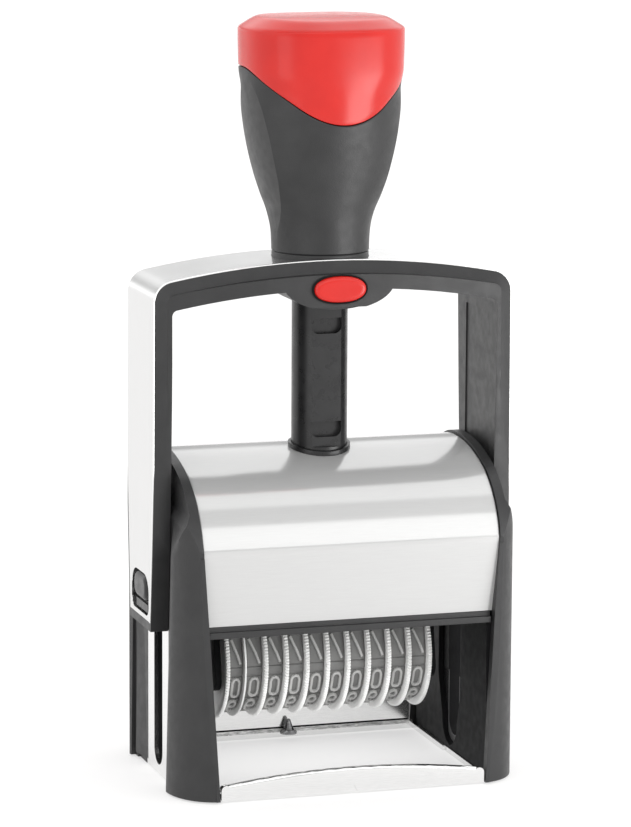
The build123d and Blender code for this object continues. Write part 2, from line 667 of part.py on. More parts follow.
# ---- build ---------------------------------------------------------------------------
def build():
    """Write every node."""
    save(base_frame(), "base_frame")
    save(rear_pointer(), "rear_pointer")
    save(front_cover(), "front_cover")
    save(cover_trim(), "cover_trim")
    right_cheek = cheek()
    save(right_cheek, "right_cheek")
    save(mirror(right_cheek, about=Plane.YZ), "left_cheek")
    save(liner(), "right_inner_wall")
    save(mirror(liner(), about=Plane.YZ), "left_inner_wall")
    save(rear_panel(), "rear_panel")
    save(column_yoke(), "column_yoke")
    save(column(), "column")
    save(column_collar(), "column_collar")
    save(column_screw(), "column_screw")
    save(frame_screws(), "yoke_screws")
    save(pad_housing(), "pad_rails")

    blank = bow_blank()
    save(bow_body(blank), "bow_body")
    save(bow_strip(blank), "bow_strip")
    save(pivot_bearing(), "right_pivot_bearing")
    save(mirror(pivot_bearing(), about=Plane.YZ), "left_pivot_bearing")
    save(neck_collar(), "neck_collar")
    handle = handle_blank()
    save(handle_grip(handle), "handle_grip")
    save(handle_cap(handle), "handle_cap")
    save(spring_seat(), "spring_seat")
    save(return_spring(), "return_spring")

    save(lock_button(), "lock_button")
    save(lock_latch(), "lock_latch")

    save(side_plate(LEFT_PLATE_X), "left_side_plate")
    save(side_plate(RIGHT_PLATE_X), "right_side_plate")
    save(print_bar(), "print_bar")
    save(band_separator(), "band_separator")
    save(wheel_shaft(), "wheel_shaft")
    save(flip_axle(), "flip_axle")
    save(axle_rollers(), "axle_rollers")
    save(flip_pins(), "flip_pins")
    save(detent_comb(), "detent_comb")
    for k in range(1, WHEELS + 1):
        save(number_band(k), f"number_band_{k:02d}")
        save(number_wheel(k), f"number_wheel_{k:02d}")

    save(pad_tray(), "pad_tray")
    save(ink_pad(), "ink_pad")


build()
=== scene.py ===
import json
import math

import bmesh
import bpy
from mathutils import Matrix, Vector


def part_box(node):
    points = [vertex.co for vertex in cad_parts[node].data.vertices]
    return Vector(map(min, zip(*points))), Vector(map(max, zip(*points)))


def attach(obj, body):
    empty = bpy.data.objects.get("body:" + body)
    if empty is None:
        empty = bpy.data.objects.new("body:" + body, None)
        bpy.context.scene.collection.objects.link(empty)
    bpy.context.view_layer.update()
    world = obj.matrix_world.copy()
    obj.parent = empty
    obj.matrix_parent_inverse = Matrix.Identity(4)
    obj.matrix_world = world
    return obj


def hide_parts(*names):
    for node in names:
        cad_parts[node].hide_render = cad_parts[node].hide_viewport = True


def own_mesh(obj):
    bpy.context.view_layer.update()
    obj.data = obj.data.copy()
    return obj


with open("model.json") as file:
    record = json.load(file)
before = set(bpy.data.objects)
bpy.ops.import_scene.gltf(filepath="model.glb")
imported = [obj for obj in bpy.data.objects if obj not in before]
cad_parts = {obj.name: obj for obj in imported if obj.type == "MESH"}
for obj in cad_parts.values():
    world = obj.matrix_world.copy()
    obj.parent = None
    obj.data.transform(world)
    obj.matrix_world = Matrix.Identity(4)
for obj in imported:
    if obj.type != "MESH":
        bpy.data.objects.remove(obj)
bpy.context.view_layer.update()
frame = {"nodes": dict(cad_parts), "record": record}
NODES = frame["nodes"]
RECORD = frame["record"]
BODY_OF = {name: body for body, names in RECORD["behaviour"]["bodies"].items() for name in names}
SLOT_OF = {part["node"]: part["material_slot"] for part in RECORD["subparts"]}
MM = 0.001


# ---- camera and light ----------------------------------------------------------------
def camera():
    """Long lens, a little from the left and from above."""
    turn, tilt, roll = 0.299141, 0.168908, 0.0054
    dist, height, aside = 0.93886, 0.24465, -0.000854
    ahead = Vector((math.sin(turn), math.cos(turn), 0))
    right = Vector((math.cos(turn), -math.sin(turn), 0))
    place = -dist * ahead + Vector((0, 0, height)) + right * aside
    look = ahead * math.cos(tilt) - Vector((0, 0, 1)) * math.sin(tilt)
    up = right.cross(look)
    side = right * math.cos(roll) + up * math.sin(roll)
    top = -right * math.sin(roll) + up * math.cos(roll)
    data = bpy.data.cameras.new("camera")
    data.sensor_fit = "VERTICAL"
    data.sensor_height = 36.0
    data.lens = 175.74
    cam = bpy.data.objects.new("camera", data)
    bpy.context.collection.objects.link(cam)
    cam.matrix_world = Matrix(((side.x, top.x, -look.x, place.x), (side.y, top.y, -look.y, place.y),
                               (side.z, top.z, -look.z, place.z), (0, 0, 0, 1)))
    bpy.context.scene.camera = cam


def area_light(name, place, aim, size, power):
    """White soft box at a place, turned towards a point and unseen by the camera."""
    data = bpy.data.lights.new(name, "AREA")
    data.shape = "RECTANGLE"
    data.size, data.size_y = size
    data.energy = power
    lamp = bpy.data.objects.new(name, data)
    bpy.context.collection.objects.link(lamp)
    lamp.location = place
    lamp.visible_camera = False
    lamp.rotation_euler = (Vector(aim) - Vector(place)).to_track_quat("-Z", "Y").to_euler()


# (degrees from the front horizon over the top to the rear one, brightness there)
SKY = ((0, 0.95), (16, 0.95),
       (18, 2.6), (46, 2.6),
       (48, 0.85), (70, 0.85),
       (72, 1.9), (100, 1.9),
       (105, 1.5), (120, 1.5),
       (124, 2.2), (160, 2.2),
       (164, 0.8), (171, 0.8),
       (174, 2.0), (180, 2.0))
SKY_STRENGTH = 0.76


def surroundings():
    """White studio with broad bright and dim bands from front to rear."""
    world = bpy.data.worlds.new("studio")
    bpy.context.scene.world = world
    world.use_nodes = True
    tree = world.node_tree
    back = tree.nodes["Background"]
    coord = tree.nodes.new("ShaderNodeTexCoord")
    split = tree.nodes.new("ShaderNodeSeparateXYZ")
    ahead = tree.nodes.new("ShaderNodeMath")
    ahead.operation = "MULTIPLY"
    ahead.inputs[1].default_value = -1.0
    turn = tree.nodes.new("ShaderNodeMath")
    turn.operation = "ARCTAN2"
    share = tree.nodes.new("ShaderNodeMath")
    share.operation = "DIVIDE"
    share.inputs[1].default_value = math.pi
    ramp = tree.nodes.new("ShaderNodeValToRGB")
    tree.links.new(coord.outputs["Generated"], split.inputs[0])
    tree.links.new(split.outputs["Y"], ahead.inputs[0])
    tree.links.new(split.outputs["Z"], turn.inputs[0])
    tree.links.new(ahead.outputs[0], turn.inputs[1])
    tree.links.new(turn.outputs[0], share.inputs[0])
    tree.links.new(share.outputs[0], ramp.inputs[0])
    tree.links.new(ramp.outputs[0], back.inputs["Color"])
    stops = ramp.color_ramp.elements
    while len(stops) < len(SKY):
        stops.new(0.5)
    for stop, (angle, level) in zip(stops, SKY):
        stop.position = angle / 180
        stop.color = (level, level, level, 1)
    back.inputs["Strength"].default_value = SKY_STRENGTH


def studio():
    """Pale floor, white surroundings and a soft box on each side."""
    bpy.context.scene.view_settings.view_transform = "Standard"
    surroundings()
    area_light("side", (0.20, -0.20, 0.04), (0.03, 0, 0.05), (0.18, 0.20), 0.52)
    area_light("left", (-0.30, -0.24, 0.08), (-0.04, 0, 0.08), (0.20, 0.24), 0.12)
    mesh = bpy.data.meshes.new("floor")
    far = 40.0
    mesh.from_pydata([(-far, -far, 0), (far, -far, 0), (far, far, 0), (-far, far, 0)], [], [(0, 1, 2, 3)])
    floor = bpy.data.objects.new("floor", mesh)
    bpy.context.collection.objects.link(floor)
    mat, tree, shader = new_material("floor_white", (0.42, 0.415, 0.412), 0.95)
    shader.inputs["Specular IOR Level"].default_value = 0.0
    shader.inputs["Emission Color"].default_value = (1, 1, 1, 1)
    shader.inputs["Emission Strength"].default_value = 0.56
    mesh.materials.append(mat)
    floor.location.z = -0.0004  # a hair below the feet, so the faces don't fight


# ---- materials -----------------------------------------------------------------------
def new_material(name, color, rough, metal=0.0):
    """A material with one Principled shader."""
    mat = bpy.data.materials.new(name)
    mat.use_nodes = True
    tree = mat.node_tree
    shader = tree.nodes["Principled BSDF"]
    shader.inputs["Base Color"].default_value = (*color, 1)
    shader.inputs["Roughness"].default_value = rough
    shader.inputs["Metallic"].default_value = metal
    return mat, tree, shader


def noise(tree, scale, stretch=(1, 1, 1), detail=3.0, rough=0.5):
    """Noise over the object's own coordinates; scale is in features per metre."""
    coord = tree.nodes.new("ShaderNodeTexCoord")
    move = tree.nodes.new("ShaderNodeMapping")
    move.inputs["Scale"].default_value = stretch
    tex = tree.nodes.new("ShaderNodeTexNoise")
    tex.inputs["Scale"].default_value = scale
    tex.inputs["Detail"].default_value = detail
    tex.inputs["Roughness"].default_value = rough
    tree.links.new(coord.outputs["Object"], move.inputs[0])
    tree.links.new(move.outputs[0], tex.inputs["Vector"])
    return tex.outputs["Fac"]


def spread(tree, value, low, high):
    """Map a noise value on a range."""
    span = tree.nodes.new("ShaderNodeMapRange")
    span.inputs["From Min"].default_value = 0.3
    span.inputs["From Max"].default_value = 0.7
    span.inputs["To Min"].default_value = low
    span.inputs["To Max"].default_value = high
    tree.links.new(value, span.inputs["Value"])
    return span.outputs[0]


def tinted(tree, shader, value, dark, light):
    """Colour that wanders between two shades."""
    mix = tree.nodes.new("ShaderNodeMix")
    mix.data_type = "RGBA"
    mix.inputs["A"].default_value = (*dark, 1)
    mix.inputs["B"].default_value = (*light, 1)
    tree.links.new(value, mix.inputs["Factor"])
    tree.links.new(mix.outputs["Result"], shader.inputs["Base Color"])


def bumped(tree, shader, value, depth, strength=1.0):
    """Surface relief from a value; depth in metres."""
    bump = tree.nodes.new("ShaderNodeBump")
    bump.inputs["Strength"].default_value = strength
    bump.inputs["Distance"].default_value = depth
    tree.links.new(value, bump.inputs["Height"])
    tree.links.new(bump.outputs[0], shader.inputs["Normal"])


def moulded(name, dark, light, rough, grain, depth, spec=0.5, swing=0.06):
    """Moulded plastic with a fine grain and slight cloudiness."""
    mat, tree, shader = new_material(name, light, rough)
    tinted(tree, shader, spread(tree, noise(tree, 160.0, detail=4), 0, 1), dark, light)
    tree.links.new(spread(tree, noise(tree, 420.0), rough - swing, rough + swing), shader.inputs["Roughness"])
    bumped(tree, shader, noise(tree, grain, detail=2.0), depth)
    shader.inputs["Specular IOR Level"].default_value = spec
    return mat


def brushed(name, dark, light, rough, stretch, depth, swing=0.03):
    """Metal with fine lines along the direction that stretch squeezes."""
    mat, tree, shader = new_material(name, light, rough, 1.0)
    lines = noise(tree, 9000.0, stretch, detail=4.0, rough=0.65)
    tinted(tree, shader, spread(tree, lines, 0, 1), dark, light)
    tree.links.new(spread(tree, noise(tree, 60.0, detail=3), rough - swing, rough + swing),
                   shader.inputs["Roughness"])
    bumped(tree, shader, lines, depth, 0.35)
    return mat


# name: dark shade, light shade, roughness, grain, depth of the grain, specular level
MOULDED = {
    "black_plastic": ((0.013, 0.013, 0.0135), (0.019, 0.019, 0.0195), 0.44, 5200.0, 0.00003),
    "gloss_black": ((0.010, 0.010, 0.0105), (0.015, 0.015, 0.0155), 0.30, 900.0, 0.000004, 0.4),
    "wall_black": ((0.005, 0.005, 0.0055), (0.009, 0.009, 0.0095), 0.6, 2400.0, 0.00001, 0.12),
    "red_plastic": ((0.52, 0.010, 0.006), (0.56, 0.013, 0.008), 0.24, 3800.0, 0.000002, 0.45, 0.03),
    "light_plastic": ((0.80, 0.80, 0.79), (0.90, 0.90, 0.89), 0.38, 3000.0, 0.00001),
    "grey_rubber": ((0.125, 0.125, 0.122), (0.17, 0.17, 0.166), 0.58, 2600.0, 0.00003),
    "digit_rubber": ((0.33, 0.33, 0.325), (0.44, 0.44, 0.43), 0.5, 2600.0, 0.00002),
    "guide_grey": ((0.055, 0.055, 0.056), (0.085, 0.085, 0.086), 0.4, 1800.0, 0.00001, 0.3),
}
# name: dark shade, light shade, roughness, squeeze of the lines along x, y and z, their depth
BRUSHED = {
    "satin_metal": ((0.525, 0.525, 0.522), (0.56, 0.56, 0.557), 0.14, (0.02, 1, 1), 0.000002, 0.02),
    "strip_metal": ((0.68, 0.68, 0.678), (0.76, 0.76, 0.757), 0.22, (1, 1, 0.02), 0.000004),
    "bright_steel": ((0.80, 0.80, 0.796), (0.88, 0.88, 0.876), 0.16, (0.05, 1, 1), 0.000003),
    "dark_steel": ((0.22, 0.22, 0.225), (0.36, 0.36, 0.365), 0.26, (0.05, 1, 1), 0.000003),
}
SATIN_METALLIC = 0.35


def felt():
    """Dark fibrous felt."""
    mat, tree, shader = new_material("felt", (0.02, 0.02, 0.028), 0.95)
    fibres = noise(tree, 2600.0, (1, 1, 0.4), detail=6.0, rough=0.7)
    tinted(tree, shader, spread(tree, fibres, 0, 1), (0.012, 0.012, 0.02), (0.045, 0.045, 0.06))
    bumped(tree, shader, fibres, 0.0002)
    shader.inputs["Sheen Weight"].default_value = 0.3
    return mat


def sawn_steel():
    """Steel with the coarse flecks of a sawn edge."""
    mat, tree, shader = new_material("sawn_steel", (0.7, 0.7, 0.7), 0.4, 1.0)
    flecks = noise(tree, 900.0, (0.6, 1, 2.5), detail=5.0, rough=0.75)
    tinted(tree, shader, spread(tree, flecks, 0, 1), (0.20, 0.20, 0.20), (1.0, 1.0, 0.99))
    bumped(tree, shader, flecks, 0.0003)
    return mat


def materials():
    """One material for each slot of the record, and a few for details."""
    out = {name: moulded(name, *values) for name, values in MOULDED.items()}
    out.update({name: brushed(name, *values) for name, values in BRUSHED.items()})
    satin = out["satin_metal"].node_tree.nodes["Principled BSDF"]
    satin.inputs["Metallic"].default_value = SATIN_METALLIC
    out["felt"] = felt()
    out["sawn_steel"] = sawn_steel()
    return out


# ---- mesh helpers --------------------------------------------------------------------
def build(name, bm, body, mats, flat_over=34.0, stands_for=()):
    """Turn a bmesh in millimetres into a piece that rides on a body."""
    bmesh.ops.recalc_face_normals(bm, faces=bm.faces)
    for face in bm.faces:
        face.smooth = True
    bmesh.ops.scale(bm, vec=(MM, MM, MM), verts=bm.verts)
    mesh = bpy.data.meshes.new(name)
    bm.to_mesh(mesh)
    bm.free()
    mesh.set_sharp_from_angle(angle=math.radians(flat_over))
    for mat in mats:
        mesh.materials.append(mat)
    piece = bpy.data.objects.new(name, mesh)
    bpy.context.collection.objects.link(piece)
    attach(piece, body)
    if stands_for:
        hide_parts(*stands_for)
    return piece


def loft_rows(bm, rows, closed=True, mat=0):
    """Quads between rows of points that have the same length."""
    made = [[bm.verts.new(p) for p in row] for row in rows]
    count = len(rows[0])
    last = count if closed else count - 1
    for low, high in zip(made, made[1:]):
        for i in range(last):
            j = (i + 1) % count
            face = bm.faces.new((low[i], low[j], high[j], high[i]))
            face.material_index = mat
    return made


def table_slope(table, i):
    """Slope of the smooth curve at its point i, level at the ends and at every peak."""
    if i <= 0 or i >= len(table) - 1:
        return 0.0
    a, b, c = table[i - 1], table[i], table[i + 1]
    left = (b[1] - a[1]) / (b[0] - a[0])
    right = (c[1] - b[1]) / (c[0] - b[0])
    return 0.0 if left * right <= 0 else 2 * left * right / (left + right)


def table_value(table, z):
    """Smooth curve through (z, value) pairs."""
    if z <= table[0][0]:
        return table[0][1]
    if z >= table[-1][0]:
        return table[-1][1]
    k = next(i for i in range(len(table) - 1) if z <= table[i + 1][0])
    z0, v0 = table[k]
    z1, v1 = table[k + 1]
    h, t = z1 - z0, (z - z0) / (z1 - z0)
    return ((1 + 2 * t) * (1 - t) ** 2 * v0 + t * (1 - t) ** 2 * h * table_slope(table, k)
            + t * t * (3 - 2 * t) * v1 + t * t * (t - 1) * h * table_slope(table, k + 1))


def circle_through(p, q, r):
    """Centre and radius of the circle through three points."""
    (ax, ay), (bx, by), (cx, cy) = p, q, r
    a2, b2, c2 = ax ** 2 + ay ** 2, bx ** 2 + by ** 2, cx ** 2 + cy ** 2
    d = 2 * (ax * (by - cy) + bx * (cy - ay) + cx * (ay - by))
    ux = (a2 * (by - cy) + b2 * (cy - ay) + c2 * (ay - by)) / d
    uy = (a2 * (cx - bx) + b2 * (ax - cx) + c2 * (bx - ax)) / d
    return ux, uy, math.hypot(ax - ux, ay - uy)


def arc_points(p, q, r, steps):
    """Points of the arc from p over q to r."""
    ux, uy, rad = circle_through(p, q, r)
    a0, a1, a2 = (math.atan2(v[1] - uy, v[0] - ux) for v in (p, q, r))
    turn = (a2 - a0) % (2 * math.pi)
    if (a1 - a0) % (2 * math.pi) > turn:
        turn -= 2 * math.pi
    return [(ux + rad * math.cos(a0 + turn * i / steps), uy + rad * math.sin(a0 + turn * i / steps))
            for i in range(steps + 1)]


def welded(node):
    """The mesh of a CAD node with its split edges joined, for editing."""
    bm = bmesh.new()
    bm.from_mesh(NODES[node].data)
    bmesh.ops.remove_doubles(bm, verts=bm.verts, dist=2e-6)
    return bm


def softened(node, width, mat):
    """A copy of a CAD node with its sharp edges rounded off, shown in its place."""
    sharp_over, flat_over = 30.0, 42.0
    bm = welded(node)
    bmesh.ops.dissolve_limit(bm, angle_limit=math.radians(0.8), verts=bm.verts, edges=bm.edges)
    mesh = bpy.data.meshes.new(node + ".soft")
    bm.to_mesh(mesh)
    bm.free()
    piece = bpy.data.objects.new(node + ".soft", mesh)
    bpy.context.collection.objects.link(piece)
    edge = piece.modifiers.new("edges", "BEVEL")
    edge.width = width * MM
    edge.segments = 2
    edge.limit_method = "ANGLE"
    edge.angle_limit = math.radians(sharp_over)
    edge.miter_outer = "MITER_ARC"
    edge.harden_normals = False
    done = bpy.data.meshes.new_from_object(piece.evaluated_get(bpy.context.evaluated_depsgraph_get()))
    piece.modifiers.clear()
    piece.data = done
    for face in done.polygons:
        face.use_smooth = True
    done.set_sharp_from_angle(angle=math.radians(flat_over))
    weighted = piece.modifiers.new("normals", "WEIGHTED_NORMAL")
    weighted.keep_sharp = True
    done.materials.clear()
    done.materials.append(mat)
    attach(piece, BODY_OF[node])
    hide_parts(node)


# ---- handle --------------------------------------------------------------------------
# (height, value) pairs: half width, half depth, half width of the side facet, share of the plain oval
HALF_W = ((123.4, 11.45), (128.0, 11.6), (131.4, 11.9), (133.5, 12.3), (136.6, 13.35), (142.4, 15.15),
          (148.0, 16.55), (152.4, 17.4), (157.0, 18.1), (161.5, 18.55), (167.0, 18.98), (174.0, 19.15))
HALF_D = ((123.4, 11.45), (128.0, 11.5), (131.4, 11.65), (136.6, 12.6), (142.4, 13.7), (148.0, 14.8),
          (153.0, 15.6), (161.0, 16.2), (167.0, 16.4), (174.0, 16.45))
FACET = ((123.4, 1.2), (127.0, 1.6), (132.0, 4.2), (137.0, 6.6), (142.0, 7.9), (149.0, 8.2), (156.0, 7.2),
         (161.0, 5.0), (165.0, 2.2), (168.0, 2.0))
ROUNDED = ((123.4, 0.0), (158.0, 0.0), (166.0, 1.0), (174.0, 1.0))
SIDE_STEPS, FRONT_STEPS = 7, 25
COLUMNS = 4 * (SIDE_STEPS + FRONT_STEPS)
FACET_BULGE = 30.0
GRIP_FOOT = 123.5
CAP_WALL_TOP = 175.3
CAP_BEVEL = 4.1
CAP_FRONT_FALL = 0.0035  # per mm, times the square of the distance forward of the middle
# (distance in from the wall, height) over the cap's rounded edge and top
CAP_TOP = ((0.05, 175.5), (0.18, 175.75), (0.45, 176.0), (0.9, 176.3), (1.7, 176.8), (2.6, 177.35),
           (3.5, 177.85), (4.1, 178.12), (4.7, 178.26), (5.6, 178.33), (8.0, 178.42), (11.0, 178.49),
           (14.2, 178.53))
CAP_PEAK = 178.55
HANDLE_TURN = math.radians(5.0)


def handle_radius(theta, z):
    """Distance from the handle's axis to its surface, theta from the side towards the front."""
    a, b = table_value(HALF_W, z), table_value(HALF_D, z)
    y_edge, blend = table_value(FACET, z), table_value(ROUNDED, z)
    c, s = max(0.0, math.cos(theta)), math.sin(theta)
    x_edge = a - y_edge ** 2 / (2 * FACET_BULGE)
    if theta <= math.atan2(y_edge, x_edge):
        bend = s * s / FACET_BULGE
        r = a if s < 1e-6 else (-c + math.sqrt(c * c + 2 * a * bend)) / bend
    else:
        front = (x_edge ** 2 + (b - y_edge) ** 2) / (2 * (b - y_edge))
        k = b - front
        r = s * k + math.sqrt(max(0.0, s * s * k * k - k * k + front * front))
    power = 2.45
    oval = 1 / ((c / a) ** power + (s / b) ** power) ** (1 / power)
    return (1 - blend) * r + blend * oval


def handle_point(i, z, inset=0.0):
    """Surface point of column i, at a height."""
    quarter = SIDE_STEPS + FRONT_STEPS
    side, k = divmod(i, quarter)
    step = k if side % 2 == 0 else quarter - k
    y_edge = table_value(FACET, z)
    edge = math.atan2(y_edge, table_value(HALF_W, z) - y_edge ** 2 / (2 * FACET_BULGE))
    if step <= SIDE_STEPS:
        theta = edge * step / SIDE_STEPS
    else:
        theta = edge + (math.pi / 2 - edge) * (step - SIDE_STEPS) / FRONT_STEPS
    r = handle_radius(theta, z) - inset
    sx = 1 if side in (0, 3) else -1
    sy = -1 if side in (0, 1) else 1
    return Vector((sx * r * math.cos(theta), sy * r * math.sin(theta), z))


def joint_height(y):
    """Height of the curved joint between grip and cap."""
    crest_y, crest_z, front_drop, reach = 4.0, 166.8, 12.8, 19.7
    return crest_z - front_drop * (abs(y - crest_y) / reach) ** 2.6


def joint_at(i):
    """Height of the joint in column i."""
    z = 162.0
    for _ in range(14):
        z = joint_height(handle_point(i, z).y)
    return z


def handle_ring(heights, inset=0.0):
    """Ring round the handle with its own height in each column."""
    return [handle_point(i, z, inset) for i, z in enumerate(heights)]


def between(low, high, share):
    """Heights at a share of the way from one ring of heights to another."""
    return [a + (b - a) * share for a, b in zip(low, high)]


def turned(bm):
    """Turn a piece of the handle about its axis, as the handle sits."""
    bmesh.ops.rotate(bm, matrix=Matrix.Rotation(HANDLE_TURN, 3, "Z"), verts=bm.verts)


def grip(seam):
    """Grip with its two side facets, up to the curved joint."""
    start = [GRIP_FOOT + 0.3] * COLUMNS
    end = [z - 0.45 for z in seam]
    steps = 44
    rows = [handle_ring([GRIP_FOOT] * COLUMNS, 1.0), handle_ring([GRIP_FOOT] * COLUMNS, 0.3)]
    rows += [handle_ring(between(start, end, k / steps)) for k in range(steps + 1)]
    for below, inset in ((0.20, 0.10), (0.10, 0.35), (0.10, 1.6)):
        rows.append(handle_ring([z - below for z in seam], inset))
    bm = bmesh.new()
    loft_rows(bm, rows)
    turned(bm)
    build("grip_shell", bm, "bow", [MATS["black_plastic"]], 11, ("handle_grip",))


def cap_roof_ring(inset, height):
    """Ring over the cap's top, which falls a little towards the front."""
    ring = []
    roof_share = min(1.0, inset / CAP_BEVEL)
    for i in range(COLUMNS):
        wall = handle_point(i, CAP_WALL_TOP)
        flat = Vector((wall.x, wall.y, 0))
        spot = flat * (1 - inset / flat.length)
        spot.z = height - roof_share * CAP_FRONT_FALL * min(0.0, spot.y) ** 2
        ring.append(spot)
    return ring


def cap(seam):
    """Cap from the curved joint up to its nearly flat top."""
    rows = []
    for above, inset in ((0.06, 1.6), (0.06, 0.30), (0.14, 0.08)):
        rows.append(handle_ring([z + above for z in seam], inset))
    start = [z + 0.34 for z in seam]
    end = [CAP_WALL_TOP] * COLUMNS
    steps = 16
    rows += [handle_ring(between(start, end, k / steps)) for k in range(steps + 1)]
    rows += [cap_roof_ring(inset, height) for inset, height in CAP_TOP]
    bm = bmesh.new()
    top = loft_rows(bm, rows)[-1]
    tip = bm.verts.new((0, 0, CAP_PEAK))
    for i in range(COLUMNS):
        bm.faces.new((top[i], top[(i + 1) % COLUMNS], tip))
    turned(bm)
    build("cap_shell", bm, "bow", [MATS["red_plastic"]], 60, ("handle_cap",))


def handle():
    """Grip, and the cap above the curved joint."""
    seam = [joint_at(i) for i in range(COLUMNS)]
    grip(seam)
    cap(seam)


# ---- cover ---------------------------------------------------------------------------
def cover_profile(inset):
    """(y, z) line over the cover's outside, from its front edge to its rear one."""
    front_low, front_high, steps = (-25.7, 40.5), (-27.25, 58.3), 12
    lean, rise = front_high[0] - front_low[0], front_high[1] - front_low[1]
    line = [(front_low[0] + lean * k / steps, front_low[1] + rise * k / steps) for k in range(steps)]
    line += arc_points(front_high, (-23.1, 66.6), (-14.5, 73.1), 40)[:-1]
    line += arc_points((-14.5, 73.1), (-5.0, 76.1), (5.0, 77.15), 24)[:-1]
    rear_arc = arc_points((5.0, 77.15), (19.6, 72.3), (27.2, 60.0), 44)
    line += [(y, z) for y, z in rear_arc if y < 5 or z > 65.0]
    if not inset:
        return line
    out = []
    for k, (y, z) in enumerate(line):
        a, b = line[max(0, k - 1)], line[min(len(line) - 1, k + 1)]
        dy, dz = b[0] - a[0], b[1] - a[1]
        size = math.hypot(dy, dz)
        out.append((y + inset * dz / size, z - inset * dy / size))
    return out


def cover():
    """Curved sheet with rounded side edges; the column's collar covers where the column passes it."""
    half, flat_half, thick, steps = 35.9, 35.4, 0.8, 60
    edge = ((0.0, 0.3), (0.12, 0.07), (0.35, 0.0))  # (distance in from the side, drop of the surface)
    stations = [(-half + inward, drop) for inward, drop in edge]
    stations += [(-flat_half + 2 * flat_half * k / steps, 0.0) for k in range(steps + 1)]
    stations += [(half - inward, drop) for inward, drop in reversed(edge)]
    outside = {drop: cover_profile(drop) for _, drop in edge}
    inside = list(reversed(cover_profile(thick)))
    rows = [[(x, y, z) for y, z in outside[drop] + inside] for x, drop in stations]
    bm = bmesh.new()
    loft_rows(bm, rows)
    build("cover_shell", bm, "base", [MATS["satin_metal"]], 50, ("front_cover",))


# ---- number wheels and bands ---------------------------------------------------------
def shape_of(node):
    """Lowest and highest corner of a CAD node in millimetres."""
    low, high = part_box(node)
    return [v / MM for v in low], [v / MM for v in high]


TEETH, STEPS_PER_TOOTH = 120, 6


def knurled_ring(x, axis_z, radius, depth):
    """Circle about the wheel's axis, with rounded teeth that go in by a depth."""
    count = TEETH * STEPS_PER_TOOTH
    out = []
    for i in range(count):
        ang = 2 * math.pi * i / count
        wave = abs(math.cos(math.pi * (i % STEPS_PER_TOOTH) / STEPS_PER_TOOTH)) ** 0.6
        r = radius - depth * (1 - wave)
        out.append((x, r * math.cos(ang), axis_z + r * math.sin(ang)))
    return out


def toothed_wheel(k):
    """Finger disc with a knurled rim, its hub and bore; the first one has its disc on the left."""
    name = f"number_wheel_{k:02d}"
    low, high = shape_of(name)
    axis_z = (low[2] + high[2]) / 2
    disc_r, disc_t, hub_r, bore, rise = 14.5, 1.1, 11.2, 3.05, 0.16
    left_disc = k == 1
    x_a = low[0] if left_disc else high[0] - disc_t
    x_b = x_a + disc_t
    rim = [(x_a, hub_r + 1.3, 0), (x_a, disc_r - 0.75, 0), (x_a + rise * 0.4, disc_r - 0.34, 0.2),
           (x_a + rise, disc_r - 0.1, 0.62), (x_a + 0.4, disc_r, 0.7), (x_b - 0.4, disc_r, 0.7),
           (x_b - rise, disc_r - 0.1, 0.62), (x_b - rise * 0.4, disc_r - 0.34, 0.2),
           (x_b, disc_r - 0.75, 0), (x_b, hub_r + 0.02, 0)]
    if left_disc:
        groove_x = x_a + 0.12
        profile = [(x_a, bore, 0), (x_a, hub_r - 1.6, 0),
                   (groove_x, hub_r - 1.2, 0), (groove_x, hub_r + 0.9, 0)]
        profile += rim + [(high[0], hub_r, 0), (high[0], bore, 0), (x_a, bore, 0)]
    else:
        profile = [(low[0], bore, 0), (low[0], hub_r, 0), (x_a, hub_r, 0)]
        profile += rim + [(x_b, bore, 0), (low[0], bore, 0)]
    bm = bmesh.new()
    loft_rows(bm, [knurled_ring(x, axis_z, radius, depth) for x, radius, depth in profile])
    bmesh.ops.remove_doubles(bm, verts=bm.verts, dist=0.001)
    body, slot = f"wheel_{k:02d}", "light_plastic"
    build(f"wheel_knurled_{k:02d}", bm, body, [MATS[slot]], 30, (name,))


